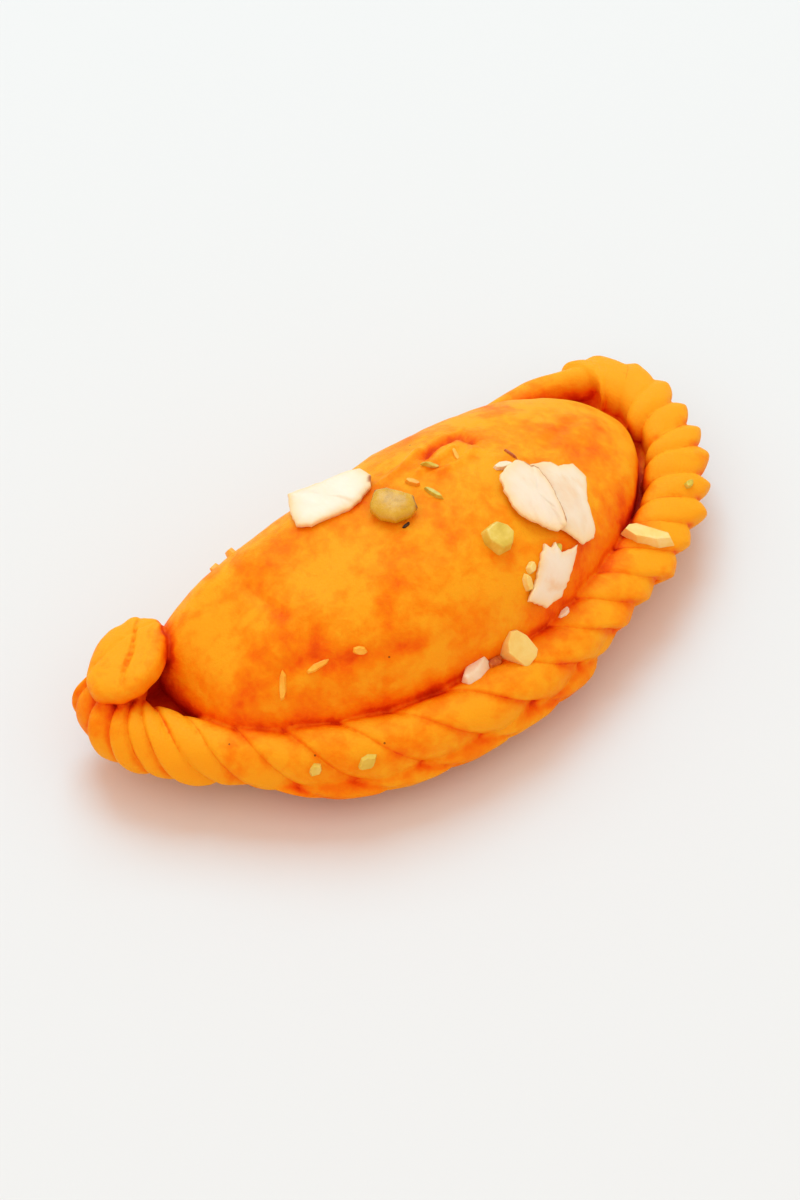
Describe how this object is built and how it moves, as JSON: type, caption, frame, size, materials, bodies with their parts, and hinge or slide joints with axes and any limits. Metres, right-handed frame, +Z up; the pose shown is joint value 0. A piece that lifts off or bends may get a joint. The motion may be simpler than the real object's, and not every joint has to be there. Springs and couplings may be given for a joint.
{
  "type": "gujiya",
  "caption": "Half-moon fried sweet pastry with a plump filled body, a rope-crimped curved edge, a folded knob at one end, and almond and pistachio toppings.",
  "frame": {"origin": "centre of the bounding box in plan, on the surface the pastry rests on", "axes": "+X along the straight fold, from the end with the knob to the plain end; -Y towards the crimped curved edge; +Z up"},
  "size_m": [0.116, 0.0526, 0.0306],
  "materials": {
    "dough": "fried orange dough, satin with a thin film of fat",
    "almond": "sliced blanched almond, smooth and slightly waxy",
    "pistachio": "pistachio with its skin, satin",
    "pale_nut": "chopped pale green nut, waxy cut faces"
  },
  "bodies": {
    "root": {"pastry": "dough", "flake_left": "almond", "flake_under": "almond", "flake_over": "almond", "flake_front": "almond", "pistachio": "pistachio", "nut_chunk": "pale_nut"}
  },
  "joints": []
}
